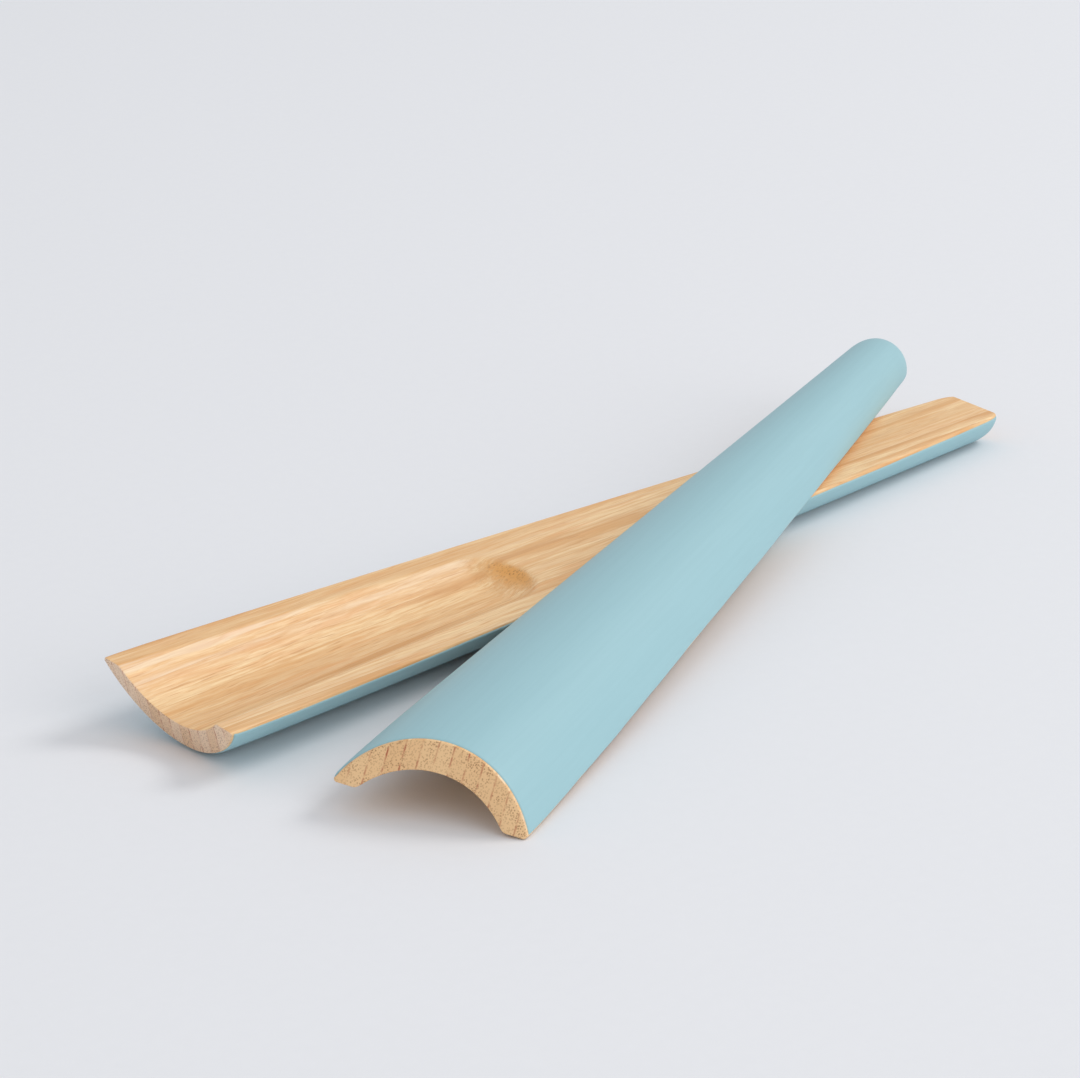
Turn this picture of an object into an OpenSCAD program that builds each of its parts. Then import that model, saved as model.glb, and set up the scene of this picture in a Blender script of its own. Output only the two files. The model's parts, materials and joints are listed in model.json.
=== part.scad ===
// A pair of salad servers in laminated bamboo, lacquered on the back.
// Each server is a tapered half-round, milled into an open-ended scoop at its wide end.
// One lies on its back with the hollow up. The other lies face down across it.
//
// A server's own frame: x runs from the middle of the scoop's mouth to the end of the handle, y runs
// across, and z = 0 is the flat plane of the rims, with the lacquered back below it.

/* [Server] */
// Length of one server, from the middle of its mouth
server_length = 307; // [260:1:340]
// Width across the rims at the mouth of the scoop
scoop_width = 45.2; // [42:0.2:50]
// Depth of the back below the rims at the mouth of the scoop
scoop_depth = 13.6; // [12.6:0.2:16]
// Width across the rims where the handle's end would be if it were not rounded
handle_width = 17.8; // [16:0.2:20]
// Depth of the back below the rims at the end of the handle
handle_depth = 9.7; // [9.3:0.1:10.5]
// How far the back swells out beyond a plain cone, at most
back_swell = 0.8; // [0:0.1:1.5]
// How far back the bottom of the mouth is set from the tips of the rims
mouth_setback = 5.5; // [2:0.5:8]
// How far the tip of one rim stands ahead of the other's tip, where the mouth is cut askew
mouth_skew = 2.8; // [0:0.2:4]
// Length of the rounding at the handle's end
end_round_length = 7; // [5:1:14]
// How far the rounding draws the back in at the handle's end
end_round_depth = 1.4; // [0.6:0.2:4]

/* [Bowl] */
// Width of the milled bowl at its mouth, in the rim plane
bowl_mouth_width = 33.2; // [30:0.2:36]
// Depth of the milled bowl at its mouth
bowl_mouth_depth = 7.6; // [6:0.2:8.6]
// Width of the milled bowl where its round inner end starts
bowl_end_width = 23.6; // [20:0.4:26]
// Depth of the milled bowl where its round inner end starts
bowl_end_depth = 4.8; // [3:0.2:6]
// Distance from the middle of the mouth to the start of the bowl's round inner end
bowl_length = 105; // [90:0.5:115]

/* [Lacquer] */
// Thickness of the lacquer coat
lacquer_thickness = 0.3; // [0.2:0.05:0.5]
// Bare wood left between the lacquer and the rims, and between the lacquer and the mouth
lacquer_margin = 0.8; // [0.4:0.1:1.5]

/* [Crossing] */
// Angle between the two servers, seen from above
crossing_angle = 18.6; // [17:0.2:20]
// How far the lower server is rolled over towards the upper server's scoop
lower_roll = 7.6; // [6:0.2:8]
// How far the upper server is rolled over on to one foot
upper_roll = 9.9; // [9.8:0.1:10.6]
// How far the upper server's handle is tipped up, where it lies across the lower one
upper_pitch = 2.3; // [2.3:0.1:4]
// Middle of the upper mouth, measured from the lower mouth's along the lower server
upper_tip_x = 10.1; // [6:0.1:16]
// Middle of the upper mouth, measured from the lower mouth's across the lower server
upper_tip_y = -69.2; // [-72:0.2:-66]

/* [Hidden] */
$fn = 96;

strip_count = 13;
strip_pitch = scoop_width / strip_count;
// The outer strips are cut a little wide, because the back swells past the mouth's width
outer_strip_allowance = 2;
bamboo_tones = ["burlywood", "wheat", "navajowhite", "tan"];

// Where the middle of the pair's bounding box lies, from the middle of the lower mouth
set_centre_x = 152.8;
set_centre_y = -26.9;

// Radius of a circle that cuts the rim plane in a chord and reaches a depth below it
function chord_radius(width, depth) = (width * width / 4 + depth * depth) / (2 * depth);

// The back is a solid of revolution, and its axis drops towards the handle
scoop_radius = chord_radius(scoop_width, scoop_depth);
handle_radius = chord_radius(handle_width, handle_depth);
axis_height_scoop = scoop_radius - scoop_depth;
axis_height_handle = handle_radius - handle_depth;
back_axis_angle = atan((axis_height_scoop - axis_height_handle) / server_length);
back_axis_length = server_length / cos(back_axis_angle);

// The bowl's cutter is a cone with a ball end, and its axis drops the same way
bowl_mouth_radius = chord_radius(bowl_mouth_width, bowl_mouth_depth);
bowl_end_radius = chord_radius(bowl_end_width, bowl_end_depth);
bowl_mouth_height = bowl_mouth_radius - bowl_mouth_depth;
bowl_end_height = bowl_end_radius - bowl_end_depth;
bowl_axis_angle = atan((bowl_mouth_height - bowl_end_height) / bowl_length);
bowl_axis_length = bowl_length / cos(bowl_axis_angle);

// The solids run on past the mouth by this much before they are cut there
overrun = 12;
// Below 1, this moves the fullest part of the swell towards the scoop
swell_skew = 0.44;
// Larger than anything that is cut
big = 2 * server_length;

// Swell of the back along its length: it rises quickly behind the mouth and fades at the handle
function swell(t) = back_swell * sin(180 * pow(max(t, 0), swell_skew));
// Rounding at the handle's end: a quarter of an ellipse
function end_round(x) =
    let (u = max(0, x - (server_length - end_round_length)) / end_round_length)
    end_round_depth * (1 - sqrt(max(0, 1 - u * u)));
function back_radius(x) =
    let (t = x / server_length)
    scoop_radius + (handle_radius - scoop_radius) * t + swell(t) - end_round(x);

// Stations along the back: close together where it curves most
round_steps = 5;
body_stations = [-overrun, 0, 0.02, 0.06, 0.12, 0.2, 0.35, 0.55, 0.78];
back_stations = concat(
    [for (s = body_stations) s < 0 ? s : s * server_length],
    [for (k = [0 : round_steps]) server_length - end_round_length * (1 - sin(90 * k / round_steps))]
);

// One side of the back's outline, as [radius, distance along the axis], drawn in by inset
function back_outline(inset) =
    [for (x = back_stations) [back_radius(x) - inset, x * back_axis_length / server_length]];
function reversed(points) = [for (k = [len(points) - 1 : -1 : 0]) points[k]];

// Turns an outline about the back's axis
module turned_about_axis(outline) {
    translate([0, 0, axis_height_scoop])
        rotate([0, 90 + back_axis_angle, 0])
            rotate_extrude()
                polygon(outline);
}

// Everything above a plane that lies drop below the rims
module above_rims(drop) {
    translate([-big / 2, -big / 2, -drop])
        cube([2 * big, big, big]);
}

// Everything in front of the slanted and skewed mouth, moved back along the server by step
module before_mouth(step) {
    translate([step, 0, 0])
        rotate([0, 0, -atan(mouth_skew / scoop_width)])
            rotate([0, -atan(mouth_setback / scoop_depth), 0])
                translate([-big, -big / 2, -big / 2])
                    cube([big, big, big]);
}

// Round-nosed cutter that mills the bowl
module bowl_cutter() {
    run_in = overrun * (bowl_mouth_radius - bowl_end_radius) / bowl_axis_length;
    translate([0, 0, bowl_mouth_height])
        rotate([0, 90 + bowl_axis_angle, 0]) {
            translate([0, 0, -overrun])
                cylinder(h = bowl_axis_length + overrun, r1 = bowl_mouth_radius + run_in, r2 = bowl_end_radius);
            translate([0, 0, bowl_axis_length])
                sphere(r = bowl_end_radius);
        }
}

// The glued and milled bamboo of one server, before it is divided into strips
module bamboo_form() {
    difference() {
        turned_about_axis(concat(
            [[0, back_stations[0]]],
            back_outline(lacquer_thickness),
            [[0, back_axis_length]]
        ));
        above_rims(0);
        before_mouth(0);
        bowl_cutter();
    }
}

// One lamination: the slice of the bamboo between two glue lines, counted from 1
module strip(number) {
    from_y = (number - 1 - strip_count / 2) * strip_pitch;
    below = number == 1 ? outer_strip_allowance : 0;
    above = number == strip_count ? outer_strip_allowance : 0;
    color(bamboo_tones[(number * 3) % len(bamboo_tones)])
        intersection() {
            bamboo_form();
            translate([-overrun, from_y - below, -2 * scoop_radius])
                cube([server_length + 2 * overrun, strip_pitch + below + above, 3 * scoop_radius]);
        }
}

// The lacquer on the back, which stops just short of the rims and of the mouth
module lacquer_coat() {
    color("lightblue")
        difference() {
            turned_about_axis(concat(back_outline(0), reversed(back_outline(lacquer_thickness))));
            above_rims(lacquer_margin);
            before_mouth(lacquer_margin);
        }
}

// Rotations of a point, in the order roll, pitch, yaw
function rolled(p, a) = [p[0], p[1] * cos(a) - p[2] * sin(a), p[1] * sin(a) + p[2] * cos(a)];
function pitched(p, a) = [p[0] * cos(a) - p[2] * sin(a), p[1], p[0] * sin(a) + p[2] * cos(a)];

// A point on the back's axis, in the server's own frame
function axis_point(x) =
    [x, 0, axis_height_scoop + (axis_height_handle - axis_height_scoop) * x / server_length];

// The lower server rests on the swell of its back and where its handle's rounding starts
handle_rest = server_length - end_round_length;
function back_bottom(x) = axis_point(x)[2] - back_radius(x);
rest_slope = max([
    for (x = back_stations) if (x >= mouth_setback && x < handle_rest)
        (back_bottom(handle_rest) - back_bottom(x)) / (handle_rest - x)
]);
lower_pitch = -atan(rest_slope);

// Height of the lowest point of the rolled and tipped back above the middle of its own mouth
function lowest_at(x) =
    pitched(rolled(axis_point(x), lower_roll), lower_pitch)[2]
    - back_radius(x) * cos(back_axis_angle - lower_pitch);
lowest_of_lower = min([for (x = back_stations) if (x >= mouth_setback) lowest_at(x)]);

// The foot of the upper server that meets the ground: the tip of one rim, in its face-down frame
function rim_half_width(x) =
    sqrt(pow(back_radius(x) - lacquer_thickness, 2) - pow(axis_point(x)[2], 2));
foot = [mouth_skew / 2, -rim_half_width(mouth_skew / 2), 0];
foot_height = pitched(rolled(foot, upper_roll), upper_pitch)[2];

// On its back, with the hollow up
module place_lower() {
    translate([-set_centre_x, -set_centre_y, -lowest_of_lower])
        rotate([0, -lower_pitch, 0])
            rotate([lower_roll, 0, 0])
                children();
}

// Face down, with the handle lying across the lower server
module place_upper() {
    translate([upper_tip_x - set_centre_x, upper_tip_y - set_centre_y, -foot_height])
        rotate([0, 0, crossing_angle])
            rotate([0, -upper_pitch, 0])
                rotate([upper_roll + 180, 0, 0])
                    children();
}

module lower_strip(number) { place_lower() strip(number); }
module upper_strip(number) { place_upper() strip(number); }
module lower_lacquer_coat() { place_lower() lacquer_coat(); }
module upper_lacquer_coat() { place_upper() lacquer_coat(); }

for (number = [1 : strip_count]) {
    lower_strip(number);
    upper_strip(number);
}
lower_lacquer_coat();
upper_lacquer_coat();
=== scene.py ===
# Looks of a pair of laminated bamboo salad servers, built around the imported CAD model.
# Lengths are in metres. A server's own frame: x runs from the middle of the mouth to the end of the
# handle, y runs across, and z = 0 is the plane of the rims, with the lacquered back below it.

import json
import math

import bmesh
import bpy
import numpy as np
from mathutils import Matrix, Vector


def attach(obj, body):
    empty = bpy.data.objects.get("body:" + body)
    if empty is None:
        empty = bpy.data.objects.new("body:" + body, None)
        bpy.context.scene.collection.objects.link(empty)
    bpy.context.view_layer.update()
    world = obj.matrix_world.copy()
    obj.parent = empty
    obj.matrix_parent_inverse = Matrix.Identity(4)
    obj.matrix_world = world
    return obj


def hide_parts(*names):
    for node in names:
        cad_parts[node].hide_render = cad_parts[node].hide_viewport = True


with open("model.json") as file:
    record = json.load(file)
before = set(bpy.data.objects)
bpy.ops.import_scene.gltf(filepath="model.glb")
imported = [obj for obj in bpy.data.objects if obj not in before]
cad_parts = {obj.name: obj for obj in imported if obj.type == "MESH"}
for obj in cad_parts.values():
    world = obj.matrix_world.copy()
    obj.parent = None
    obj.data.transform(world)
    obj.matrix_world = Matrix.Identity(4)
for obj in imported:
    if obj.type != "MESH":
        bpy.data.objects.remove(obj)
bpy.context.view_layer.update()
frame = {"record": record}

MM = 0.001

# The CAD model's driving dimensions
SERVER_LENGTH = 307 * MM
SCOOP_WIDTH = 45.2 * MM
SCOOP_DEPTH = 13.6 * MM
HANDLE_WIDTH = 17.8 * MM
HANDLE_DEPTH = 9.7 * MM
BACK_SWELL = 0.8 * MM
SWELL_SKEW = 0.44
MOUTH_SETBACK = 5.5 * MM
MOUTH_SKEW = 2.8 * MM
END_ROUND_LENGTH = 7 * MM
END_ROUND_DEPTH = 1.4 * MM
BOWL_MOUTH_WIDTH = 33.2 * MM
BOWL_MOUTH_DEPTH = 7.6 * MM
BOWL_END_WIDTH = 23.6 * MM
BOWL_END_DEPTH = 4.8 * MM
BOWL_LENGTH = 105 * MM
COAT_THICKNESS = 0.3 * MM
COAT_MARGIN = 0.8 * MM
STRIP_COUNT = 13
STRIP_PITCH = SCOOP_WIDTH / STRIP_COUNT

# How the two servers lie, in degrees, as in the CAD model
LOWER_ROLL = 7.6
LOWER_PITCH = -0.9489
UPPER_ROLL = 9.9
UPPER_PITCH = 2.3
CROSSING_ANGLE = 18.6
LOWER_MOUTH = Vector((-152.8, 26.9, 0)) * MM
UPPER_MOUTH = LOWER_MOUTH + Vector((10.1, -69.2, 0)) * MM

# The attribute that holds a point's place in its server's own frame
OWN_FRAME = "own_frame"

# Finishing by hand that the CAD model leaves out
RIM_EASE = 0.75 * MM
MOUTH_EASE = 0.3 * MM
BOWL_EDGE_BLEND = 0.9 * MM
COAT_EDGE_ROUND = 0.7 * MM
COAT_EDGE_WANDER = 0.14 * MM
SHEAR_FADE = 40 * MM

# How finely the meshes are made
SMALLEST_WIDTH = 0.02 * MM
RUN_OUT_TOLERANCE = 0.01 * MM
CLOSEST_STATIONS = 0.1 * MM
OUTER_STRIP_ALLOWANCE = 2 * MM
ROUNDING_STEPS = 16
SLANT_STEPS = 8
ACROSS_STRIP = 12
ACROSS_COAT = 96
# Above 1, these draw the points across a strip and across the coat together towards the edges
STRIP_CROWDING = 1.5
COAT_CROWDING = 1.25
# Share of its thickness that the lacquer loses at its edge
COAT_EDGE_LOSS = 0.85
STRIP_SHARP_DEGREES = 32
COAT_SHARP_DEGREES = 60


# ---------------------------------------------------------------- the shape of a server


def chord_radius(width, depth):
    """Radius of a circle that cuts the rim plane in a chord and reaches a depth below it."""
    return (width * width / 4 + depth * depth) / (2 * depth)


SCOOP_RADIUS = chord_radius(SCOOP_WIDTH, SCOOP_DEPTH)
HANDLE_RADIUS = chord_radius(HANDLE_WIDTH, HANDLE_DEPTH)
AXIS_SCOOP = SCOOP_RADIUS - SCOOP_DEPTH
AXIS_HANDLE = HANDLE_RADIUS - HANDLE_DEPTH
BOWL_MOUTH_RADIUS = chord_radius(BOWL_MOUTH_WIDTH, BOWL_MOUTH_DEPTH)
BOWL_END_RADIUS = chord_radius(BOWL_END_WIDTH, BOWL_END_DEPTH)


def clamped(value, low, high):
    return min(max(value, low), high)


def eased(distance, radius):
    """How far an edge rounded to that radius falls away, at a distance in from the edge."""
    inside = clamped(radius - distance, 0, radius)
    return radius - math.sqrt(radius * radius - inside * inside)


def back_radius(x):
    t = x / SERVER_LENGTH
    u = clamped((x - SERVER_LENGTH + END_ROUND_LENGTH) / END_ROUND_LENGTH, 0, 1)
    swell = BACK_SWELL * math.sin(math.pi * clamped(t, 0, 1) ** SWELL_SKEW)
    rounding = END_ROUND_DEPTH * (1 - math.sqrt(1 - u * u))
    return SCOOP_RADIUS + (HANDLE_RADIUS - SCOOP_RADIUS) * t + swell - rounding


def axis_height(x):
    return AXIS_SCOOP + (AXIS_HANDLE - AXIS_SCOOP) * x / SERVER_LENGTH


def bowl_height(x, y):
    """Height of the milled bowl's surface, which rises past the rim plane outside the bowl."""
    t = min(x / BOWL_LENGTH, 1)
    radius = BOWL_MOUTH_RADIUS + (BOWL_END_RADIUS - BOWL_MOUTH_RADIUS) * t
    centre = radius - (BOWL_MOUTH_DEPTH + (BOWL_END_DEPTH - BOWL_MOUTH_DEPTH) * t)
    past = max(x - BOWL_LENGTH, 0)
    return centre - math.sqrt(max(radius * radius - past * past - y * y, 0))


def face_height(x, y):
    """Height of the inner face: the rims' plane and the bowl, with the edge between them blended."""
    bowl = bowl_height(x, y)
    near = max(BOWL_EDGE_BLEND - abs(bowl), 0) / BOWL_EDGE_BLEND
    return min(0, bowl) - near * near * BOWL_EDGE_BLEND / 4


def end_easing(station):
    """How far the edges round the mouth and round the handle's end are eased at a station."""
    return eased(station, MOUTH_EASE) + eased(SERVER_LENGTH - station, MOUTH_EASE)


def wood_radius(x, station):
    return back_radius(x) - COAT_THICKNESS - end_easing(station)


def slanted(station, surface):
    """Point of a surface along one station, which lies at the mouth's slant and skew near the mouth."""
    fade = max(0, 1 - station / SHEAR_FADE)
    skew = MOUTH_SKEW / SCOOP_WIDTH
    slant = MOUTH_SETBACK / SCOOP_DEPTH * math.hypot(1, skew)
    x = station
    for _ in range(SLANT_STEPS):
        y, z = surface(x)
        x = station + fade * (skew * y - slant * z)
    return x, y, z


def rim_angle(x, radius, drop):
    """Angle round the back's axis at which the back comes up to a given drop below the rims."""
    return math.acos(clamped((axis_height(x) + drop) / radius, -1, 1))


def half_width(station):
    """Half of the bare wood's width at a station, out to where the eased rim meets the back."""
    radius = wood_radius(station, station)
    return radius * math.sin(rim_angle(station, radius, RIM_EASE))


def run_out(inner_edge):
    """How far along the server a strip goes before the taper cuts it off at its inner edge."""
    reached, missed = 5 * MM, SERVER_LENGTH
    if half_width(missed) > inner_edge + SMALLEST_WIDTH:
        return missed
    while missed - reached > RUN_OUT_TOLERANCE:
        middle = (reached + missed) / 2
        if half_width(middle) > inner_edge + SMALLEST_WIDTH:
            reached = middle
        else:
            missed = middle
    return reached


def stations(start):
    """Distances behind the mouth, close together where the shape turns quickly."""
    mouth = [start + MOUTH_EASE * k for k in (0, 0.1, 0.25, 0.5, 1, 2.5, 5, 9, 15)]
    scoop = np.arange(12 * MM, 94 * MM, 4 * MM)
    bowl_end = np.arange(94 * MM, 124 * MM, 1 * MM)
    handle = np.arange(126 * MM, SERVER_LENGTH - END_ROUND_LENGTH - 3 * MM, 6 * MM)
    quarter_turns = [math.pi / 2 * k / ROUNDING_STEPS for k in range(ROUNDING_STEPS + 1)]
    rounding = [SERVER_LENGTH - END_ROUND_LENGTH * (1 - math.sin(turn)) for turn in quarter_turns]
    return [float(s) for s in (*mouth, *scoop, *bowl_end, *handle, *rounding)]


# ---------------------------------------------------------------- meshes


def mesh_object(name, points, faces, place=Matrix.Identity(4)):
    """A mesh in the row frame, from points in a server's own frame, which it keeps for its material."""
    mesh = bpy.data.meshes.new(name)
    mesh.from_pydata([place @ Vector(p) for p in points], [], faces)
    own = mesh.attributes.new(OWN_FRAME, "FLOAT_VECTOR", "POINT")
    own.data.foreach_set("vector", np.array(points, np.float32).ravel())
    made = bpy.data.objects.new(name, mesh)
    bpy.context.scene.collection.objects.link(made)
    return made


def tidy_mesh(made, sharp_degrees):
    """Welds the points where a section closes up, faces all normals outwards and shades it smooth."""
    work = bmesh.new()
    work.from_mesh(made.data)
    bmesh.ops.remove_doubles(work, verts=work.verts, dist=0.004 * MM)
    bmesh.ops.dissolve_degenerate(work, edges=work.edges, dist=0.002 * MM)
    bmesh.ops.recalc_face_normals(work, faces=work.faces)
    work.to_mesh(made.data)
    work.free()
    made.data.shade_smooth()
    made.data.set_sharp_from_angle(angle=math.radians(sharp_degrees))


def tube_faces(sections, around):
    """Faces of a closed tube of quads through sections that have the same number of points."""
    faces = []
    for s in range(sections - 1):
        for k in range(around):
            a, b = s * around + k, s * around + (k + 1) % around
            faces.append((a, b, b + around, a + around))
    return faces


def ladder_faces(first, around):
    """A cap over one section, as quads between its back and its face."""
    half = around // 2
    last = first + around - 1
    return [(first + k, first + k + 1, last - 1 - k, last - k) for k in range(half - 1)]


def strip_section(station, near_y, far_y):
    """One section of a strip: along its back from the near glue line to the far one, then back along its
    face. The far side is the one away from the middle of the server, where the rim may cut it off."""
    side = 1 if far_y + near_y >= 0 else -1
    radius = wood_radius(station, station)
    widest = half_width(station)
    rim = rim_angle(station, radius, RIM_EASE)

    def angle_at(y):
        return rim if abs(y) >= widest else math.asin(abs(y) / radius)

    def back_at(x, angle):
        reach = wood_radius(x, station)
        return reach * math.sin(angle), axis_height(x) - reach * math.cos(angle)

    near_angle = math.copysign(angle_at(near_y), near_y)
    far_angle = math.copysign(angle_at(far_y), far_y)
    back, face = [], []
    for k in range(ACROSS_STRIP + 1):
        angle = near_angle + (far_angle - near_angle) * k / ACROSS_STRIP
        back.append(slanted(station, lambda x: back_at(x, angle)))
    near_edge, far_edge = back[0][1], back[-1][1]
    for k in range(ACROSS_STRIP + 1):
        y = far_edge + (near_edge - far_edge) * (k / ACROSS_STRIP) ** STRIP_CROWDING
        fall = eased(widest - side * y, RIM_EASE) + end_easing(station)
        face.append(slanted(station, lambda x: (y, face_height(x, y) - fall)))
    return back + face


def strip_mesh(name, number, place):
    """One lamination, out to where the taper of the server cuts it off."""
    low_y = (number - 1 - STRIP_COUNT / 2) * STRIP_PITCH
    high_y = low_y + STRIP_PITCH
    near_y, far_y = (low_y, high_y) if low_y + high_y >= 0 else (high_y, low_y)
    if number in (1, STRIP_COUNT):
        far_y += math.copysign(OUTER_STRIP_ALLOWANCE, far_y)
    inner_edge = 0 if near_y * far_y < 0 else abs(near_y)
    last = run_out(inner_edge)
    used = [s for s in stations(0) if s < last - CLOSEST_STATIONS] + [last]
    points = [p for s in used for p in strip_section(s, near_y, far_y)]
    around = 2 * (ACROSS_STRIP + 1)
    faces = tube_faces(len(used), around)
    faces += ladder_faces(0, around) + ladder_faces((len(used) - 1) * around, around)
    made = mesh_object(name, points, faces, place)
    tidy_mesh(made, STRIP_SHARP_DEGREES)
    return made


def coat_edge_drop(x, side):
    """How far below the rims the lacquer stops, which wanders a little as sanding leaves it."""
    wander = math.sin(x * 61 + side) + 0.6 * math.sin(x * 167 + 2 * side) + 0.4 * math.sin(x * 411 + side)
    return COAT_MARGIN + COAT_EDGE_WANDER * wander / 2


def coat_mesh(name, place):
    """The lacquer: a thin closed shell whose edges round down to the wood."""
    used = stations(COAT_MARGIN)

    def coat_at(x, station, angle, lift):
        reach = wood_radius(x, station) + lift
        return reach * math.sin(angle), axis_height(x) - reach * math.cos(angle)

    outer, inner = [], []
    for station in used:
        for k in range(ACROSS_COAT + 1):
            u = 2 * k / ACROSS_COAT - 1
            side = -1 if u < 0 else 1
            spread = math.copysign(1 - (1 - abs(u)) ** COAT_CROWDING, u)
            drop = coat_edge_drop(station, side)
            limit = rim_angle(station, back_radius(station), drop)
            angle = limit * spread
            edge_distance = min(back_radius(station) * (limit - abs(angle)), station - COAT_MARGIN)
            thinning = COAT_EDGE_LOSS * eased(edge_distance, COAT_EDGE_ROUND) / COAT_EDGE_ROUND
            thickness = COAT_THICKNESS * (1 - thinning)
            outer.append(slanted(station, lambda x: coat_at(x, station, angle, thickness)))
            inner.append(slanted(station, lambda x: coat_at(x, station, angle, 0)))
    row = ACROSS_COAT + 1
    faces = []
    for s in range(len(used) - 1):
        for k in range(ACROSS_COAT):
            a = s * row + k
            b = a + len(outer)
            faces.append((a, a + 1, a + 1 + row, a + row))
            faces.append((b, b + row, b + 1 + row, b + 1))
    shift = len(outer)
    last = (len(used) - 1) * row
    for k in range(ACROSS_COAT):
        faces.append((k, k + shift, k + 1 + shift, k + 1))
        faces.append((last + k, last + k + 1, last + k + 1 + shift, last + k + shift))
    for s in range(len(used) - 1):
        a, b = s * row, s * row + ACROSS_COAT
        faces.append((a, a + row, a + row + shift, a + shift))
        faces.append((b, b + shift, b + row + shift, b + row))
    made = mesh_object(name, outer + inner, faces, place)
    tidy_mesh(made, COAT_SHARP_DEGREES)
    return made


# ---------------------------------------------------------------- places


def turned(degrees, axis):
    return Matrix.Rotation(math.radians(degrees), 4, axis)


def lower_place():
    """On its back, with the lowest point of the back on the ground."""
    turn = turned(-LOWER_PITCH, "Y") @ turned(LOWER_ROLL, "X")
    drop = min(
        (turn @ Vector((s, 0, axis_height(s)))).z - back_radius(s) for s in stations(MOUTH_SETBACK)
    )
    return Matrix.Translation(LOWER_MOUTH - Vector((0, 0, drop))) @ turn


def upper_place():
    """Face down on one foot, with the handle across the lower server."""
    turn = turned(CROSSING_ANGLE, "Z") @ turned(-UPPER_PITCH, "Y") @ turned(UPPER_ROLL + 180, "X")
    foot_radius = back_radius(MOUTH_SKEW / 2) - COAT_THICKNESS
    foot_y = math.sqrt(foot_radius**2 - axis_height(MOUTH_SKEW / 2) ** 2)
    foot = turn @ Vector((MOUTH_SKEW / 2, foot_y, 0))
    return Matrix.Translation(UPPER_MOUTH - Vector((0, 0, foot.z))) @ turn


# ---------------------------------------------------------------- materials


def rgb(red, green, blue):
    """A colour named by its 0 to 255 display values, as the shader's linear values."""
    def linear(v):
        v /= 255
        return v / 12.92 if v <= 0.04045 else ((v + 0.055) / 1.055) ** 2.4
    return (linear(red), linear(green), linear(blue), 1)


class Shader:
    """A material's node tree, with short ways to add nodes to it."""

    def __init__(self, name):
        self.material = bpy.data.materials.new(name)
        self.material.use_nodes = True
        self.tree = self.material.node_tree
        self.bsdf = self.tree.nodes["Principled BSDF"]

    def link(self, value, socket):
        if isinstance(value, bpy.types.NodeSocket):
            self.tree.links.new(value, socket)
        else:
            socket.default_value = value

    def math(self, operation, first, second=0.0):
        node = self.tree.nodes.new("ShaderNodeMath")
        node.operation = operation
        self.link(first, node.inputs[0])
        self.link(second, node.inputs[1])
        return node.outputs[0]

    def times(self, first, second):
        return self.math("MULTIPLY", first, second)

    def plus(self, first, second):
        return self.math("ADD", first, second)

    def ramp(self, value, low, high):
        """0 below low, 1 above high, and smooth between them."""
        node = self.tree.nodes.new("ShaderNodeMapRange")
        node.interpolation_type = "SMOOTHSTEP"
        self.link(value, node.inputs["Value"])
        self.link(low, node.inputs["From Min"])
        self.link(high, node.inputs["From Max"])
        return node.outputs["Result"]

    def mix(self, factor, first, second):
        node = self.tree.nodes.new("ShaderNodeMix")
        node.data_type = "RGBA"
        self.link(factor, node.inputs[0])
        self.link(first, node.inputs[6])
        self.link(second, node.inputs[7])
        return node.outputs[2]

    def point(self, x, y, z):
        node = self.tree.nodes.new("ShaderNodeCombineXYZ")
        for socket, value in zip(node.inputs, (x, y, z)):
            self.link(value, socket)
        return node.outputs[0]

    def stretched(self, x, y, z, along, across):
        """The point x, y, z, scaled by one number along the server and by another across it."""
        return self.point(self.times(x, along), self.times(y, across), self.times(z, across))

    def split(self, vector):
        node = self.tree.nodes.new("ShaderNodeSeparateXYZ")
        self.link(vector, node.inputs[0])
        return node.outputs

    def own_frame(self):
        node = self.tree.nodes.new("ShaderNodeAttribute")
        node.attribute_name = OWN_FRAME
        return self.split(node.outputs["Vector"])

    def facing(self, direction):
        """How squarely the surface faces along a direction or against it: 0 to 1."""
        geometry = self.tree.nodes.new("ShaderNodeNewGeometry")
        node = self.tree.nodes.new("ShaderNodeVectorMath")
        node.operation = "DOT_PRODUCT"
        self.link(geometry.outputs["Normal"], node.inputs[0])
        node.inputs[1].default_value = direction
        return self.math("ABSOLUTE", node.outputs["Value"])

    def noise(self, vector, detail=2.0, roughness=0.5):
        node = self.tree.nodes.new("ShaderNodeTexNoise")
        node.inputs["Scale"].default_value = 1
        node.inputs["Detail"].default_value = detail
        node.inputs["Roughness"].default_value = roughness
        self.link(vector, node.inputs["Vector"])
        return node.outputs["Fac"]

    def cells(self, vector):
        """Distance to the nearest of a field of scattered dots."""
        node = self.tree.nodes.new("ShaderNodeTexVoronoi")
        node.inputs["Scale"].default_value = 1
        self.link(vector, node.inputs["Vector"])
        return node.outputs["Distance"]

    def random(self, value):
        node = self.tree.nodes.new("ShaderNodeTexWhiteNoise")
        node.noise_dimensions = "1D"
        self.link(value, node.inputs["W"])
        return node.outputs["Value"]

    def bump(self, height, distance, strength=1.0, under=None):
        node = self.tree.nodes.new("ShaderNodeBump")
        node.inputs["Strength"].default_value = strength
        node.inputs["Distance"].default_value = distance
        self.link(height, node.inputs["Height"])
        if under is not None:
            self.link(under, node.inputs["Normal"])
        return node.outputs["Normal"]


PALE = rgb(250, 220, 172)
HONEY = rgb(226, 172, 112)
ORANGE = rgb(228, 154, 88)
AMBER = rgb(190, 126, 70)
FINE_FIBRE = rgb(206, 148, 90)
# Colour of the painted sheen on the far wall of the bowl
PAINTED_SHEEN = rgb(246, 232, 210)
DARKER_CUT = rgb(222, 172, 118)
MILLED_CUT = rgb(230, 170, 96)
DOT = rgb(140, 88, 50)
GLUE = rgb(176, 92, 62)


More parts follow.
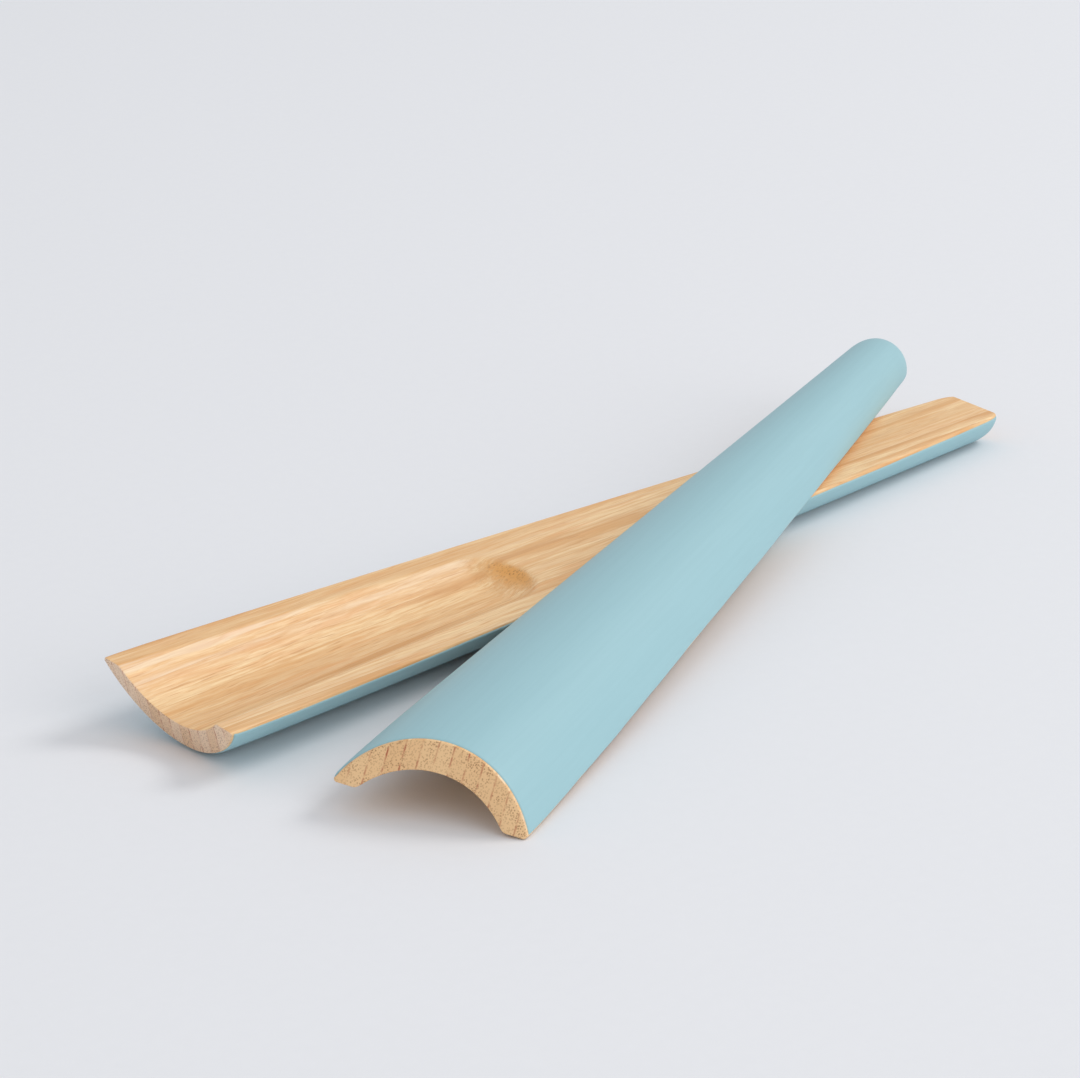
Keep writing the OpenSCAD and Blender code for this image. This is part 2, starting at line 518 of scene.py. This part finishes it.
def bamboo(name, tone, seed, lengthwise, crosswise, cut_tone_and_painted_light):
    """Laminated bamboo: streaks along the strip, dots on the end grain, a fine line at each glue joint."""
    s = Shader(name)
    x, y, z = s.own_frame()
    phase = s.plus(s.math("DIVIDE", y, STRIP_PITCH), STRIP_COUNT / 2 + 100 * seed)
    strip_id = s.math("FLOOR", phase)
    chance = s.random(strip_id)
    chance_two = s.random(s.plus(strip_id, 0.37))
    from_middle = s.math("ABSOLUTE", s.math("SUBTRACT", s.math("FRACT", phase), 0.5))
    glue_distance = s.times(from_middle, 2)

    # Every strip reads the same grain field, each from a place of its own
    along = s.plus(x, s.times(chance, 9.0))
    sway = s.noise(s.stretched(along, y, z, 55, 130), detail=3.0)
    swayed = s.plus(y, s.times(s.math("SUBTRACT", sway, 0.5), 1.8 * MM))

    def fibres(per_metre_along, per_metre_across, **settings):
        return s.noise(s.stretched(along, swayed, z, per_metre_along, per_metre_across), **settings)

    bands = s.ramp(fibres(13, 300, detail=2.0), 0.36, 0.64)
    warmth = s.ramp(fibres(36, 380, detail=3.0, roughness=0.6), 0.50, 0.72)
    streaks = s.ramp(fibres(34, 1500, detail=4.0, roughness=0.65), 0.40, 0.66)
    fine = s.ramp(fibres(150, 3600, detail=2.0, roughness=0.6), 0.36, 0.66)
    flecks = s.ramp(fibres(85, 2300, detail=2.0), 0.60, 0.74)
    colour = s.mix(bands, tone, PALE)
    colour = s.mix(s.times(warmth, 0.50), colour, ORANGE)
    colour = s.mix(s.times(streaks, 0.60), colour, HONEY)
    colour = s.mix(s.times(fine, 0.26), colour, FINE_FIBRE)
    colour = s.mix(s.times(flecks, 0.50), colour, AMBER)
    colour = s.mix(s.times(chance_two, 0.26), colour, HONEY)

    # Painted sheen: the wall of the bowl beyond the middle is painted paler, in broken streaks, where it
    # faces across the server, standing in for reflected light
    painted_sheen = s.times(s.ramp(y, 9 * MM, 13 * MM), s.ramp(s.facing(crosswise), 0.22, 0.45))
    painted_sheen = s.times(painted_sheen, s.ramp(fibres(24, 520, detail=3.0), 0.42, 0.66))
    colour = s.mix(s.times(painted_sheen, 0.42), colour, PAINTED_SHEEN)

    # Where fibres are cut across, the bundles show as fine dark dots, closer together in some places
    end_grain = s.ramp(s.facing(lengthwise), 0.30, 0.62)
    spots = s.cells(s.stretched(along, y, z, 60, 2300))
    dots = s.math("SUBTRACT", 1.0, s.ramp(spots, 0.18, 0.56))
    crowding = s.noise(s.point(chance, s.times(y, 330), s.times(z, 330)), detail=2.0)
    crowding = s.ramp(crowding, 0.40, 0.64)
    dots = s.times(dots, s.plus(0.30, s.times(crowding, 0.42)))
    milled = s.ramp(x, 50 * MM, 60 * MM)
    # The end grain's ground colour, which on the upper server carries painted light
    ground = s.mix(s.times(chance, 0.5), cut_tone_and_painted_light, DARKER_CUT)
    ground = s.mix(milled, ground, MILLED_CUT)
    cut = s.mix(dots, ground, DOT)

    # The glue shows on the end grain as reddish lines, broken and not all alike
    joint_id = s.math("FLOOR", s.plus(phase, 0.5))
    broken = s.noise(s.point(joint_id, s.times(z, 420), 0.0), detail=2.0)
    glue = s.times(s.ramp(glue_distance, 0.84, 0.97), s.ramp(broken, 0.38, 0.62))
    glue = s.times(glue, s.plus(0.40, s.times(s.random(joint_id), 0.6)))
    glue = s.times(glue, s.math("SUBTRACT", 1.0, milled))
    cut = s.mix(glue, cut, GLUE)
    colour = s.mix(s.times(s.ramp(glue_distance, 0.93, 0.99), 0.22), colour, AMBER)
    colour = s.mix(end_grain, colour, cut)

    relief = s.plus(s.times(streaks, 0.6), s.times(flecks, 0.4))
    s.link(colour, s.bsdf.inputs["Base Color"])
    s.link(s.plus(0.40, s.times(streaks, 0.12)), s.bsdf.inputs["Roughness"])
    s.bsdf.inputs["Specular IOR Level"].default_value = 0.40
    s.link(s.bump(relief, 0.03 * MM, 0.6), s.bsdf.inputs["Normal"])
    return s.material


def lacquer(name):
    """Satin lacquer, sprayed: one even colour, with a faint peel and the grain just telling through."""
    s = Shader(name)
    x, y, z = s.own_frame()

    def field(along, across, **settings):
        return s.noise(s.stretched(x, y, z, along, across), **settings)

    peel = field(1800, 1800, detail=1.0)
    grain = field(30, 1100, detail=2.0)
    colour = s.mix(s.ramp(grain, 0.30, 0.70), rgb(152, 191, 199), rgb(154, 193, 201))
    s.link(colour, s.bsdf.inputs["Base Color"])
    s.bsdf.inputs["Roughness"].default_value = 0.50
    s.bsdf.inputs["Specular IOR Level"].default_value = 0.38
    relief = s.bump(peel, 0.008 * MM, 0.4, under=s.bump(grain, 0.01 * MM, 0.3))
    s.link(relief, s.bsdf.inputs["Normal"])
    return s.material


def floor_material():
    s = Shader("studio_paper")
    x, y, z = s.own_frame()
    tooth = s.noise(s.point(s.times(x, 300), s.times(y, 300), z), detail=2.0)
    s.link(s.mix(tooth, rgb(232, 233, 236), rgb(234, 235, 238)), s.bsdf.inputs["Base Color"])
    s.bsdf.inputs["Roughness"].default_value = 0.9
    s.bsdf.inputs["Specular IOR Level"].default_value = 0.1
    return s.material


# ---------------------------------------------------------------- the two servers

TONES = {
    "bamboo_honey": rgb(226, 178, 122),
    "bamboo_pale": rgb(234, 196, 146),
    "bamboo_cream": rgb(240, 206, 160),
    "bamboo_amber": rgb(216, 164, 108),
}


def node_slots():
    return {part["node"]: part["material_slot"] for part in frame["record"]["subparts"]}


def dress(made, node, body, material):
    made.data.materials.append(material)
    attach(made, body)
    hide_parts(node)


def build_server(side, place, seed, cut_tone_and_painted_light, coat_material):
    body = side + "_server"
    slots = node_slots()
    lengthwise, crosswise = (place.to_3x3() @ Vector(axis) for axis in ((1, 0, 0), (0, 1, 0)))
    woods = {}
    for slot, tone in TONES.items():
        woods[slot] = bamboo(f"{slot}_{side}", tone, seed, lengthwise, crosswise, cut_tone_and_painted_light)
    for number in range(1, STRIP_COUNT + 1):
        node = f"{side}_strip_{number:02d}"
        dress(strip_mesh(node + "_piece", number, place), node, body, woods[slots[node]])
    node = side + "_lacquer_coat"
    dress(coat_mesh(node + "_piece", place), node, body, coat_material)


satin = lacquer("lacquer_satin")
# End-grain ground colours, one per server: the upper's is brightened as painted light, since its end face
# lies in shade here
LOWER_CUT = rgb(240, 210, 180)
UPPER_CUT_PAINTED_LIGHT = rgb(240, 202, 152)
build_server("lower", lower_place(), 1, LOWER_CUT, satin)
build_server("upper", upper_place(), 2, UPPER_CUT_PAINTED_LIGHT, satin)


# ---------------------------------------------------------------- studio

VIEW_TARGET = Vector((10.1, 61.3, 0)) * MM
VIEW_BEARING = 48.55
VIEW_ELEVATION = 19.4
VIEW_DISTANCE = 948.4 * MM
FOCAL_LENGTH = 122.6


def build_camera():
    data = bpy.data.cameras.new("camera")
    data.lens = FOCAL_LENGTH
    data.sensor_width = 36
    bearing, elevation = math.radians(VIEW_BEARING), math.radians(VIEW_ELEVATION)
    looking = Vector(
        (
            math.sin(bearing) * math.cos(elevation),
            math.cos(bearing) * math.cos(elevation),
            -math.sin(elevation),
        )
    )
    camera = bpy.data.objects.new("camera", data)
    camera.location = VIEW_TARGET - looking * VIEW_DISTANCE
    camera.rotation_mode = "QUATERNION"
    camera.rotation_quaternion = looking.to_track_quat("-Z", "Y")
    bpy.context.scene.collection.objects.link(camera)
    bpy.context.scene.camera = camera
    return looking


def build_floor():
    size = 6.0
    corners = [(-size, -size, 0), (size, -size, 0), (size, size, 0), (-size, size, 0)]
    floor = mesh_object("floor", corners, [(0, 1, 2, 3)])
    floor.data.materials.append(floor_material())


def area_light(name, position, target, size, power, colour):
    data = bpy.data.lights.new(name, "AREA")
    data.shape = "DISK"
    data.size = size
    data.energy = power
    data.color = colour
    lamp = bpy.data.objects.new(name, data)
    lamp.location = position
    lamp.rotation_mode = "QUATERNION"
    lamp.rotation_quaternion = (Vector(target) - Vector(position)).to_track_quat("-Z", "Y")
    bpy.context.scene.collection.objects.link(lamp)


def build_light(looking):
    """A broad light to the right and behind, a soft fill from the right, and a bright even room."""
    ahead = Vector((looking.x, looking.y, 0)).normalized()
    right = Vector((ahead.y, -ahead.x, 0))
    up = Vector((0, 0, 1))
    area_light("key", right * 2.2 + ahead * 0.9 + up * 2.4, (0, 0, 0), 1.5, 33, (1, 0.985, 0.96))
    area_light("fill", right * 1.7 - ahead * 1.7 + up * 0.9, (0, 0, 0), 2.2, 20, (1, 0.975, 0.95))
    world = bpy.data.worlds.new("room")
    world.use_nodes = True
    world.node_tree.nodes["Background"].inputs["Color"].default_value = (0.95, 0.967, 1, 1)
    world.node_tree.nodes["Background"].inputs["Strength"].default_value = 0.70
    bpy.context.scene.world = world


view_direction = build_camera()
build_floor()
build_light(view_direction)
bpy.context.scene.view_settings.view_transform = "Standard"

bpy.context.view_layer.update()
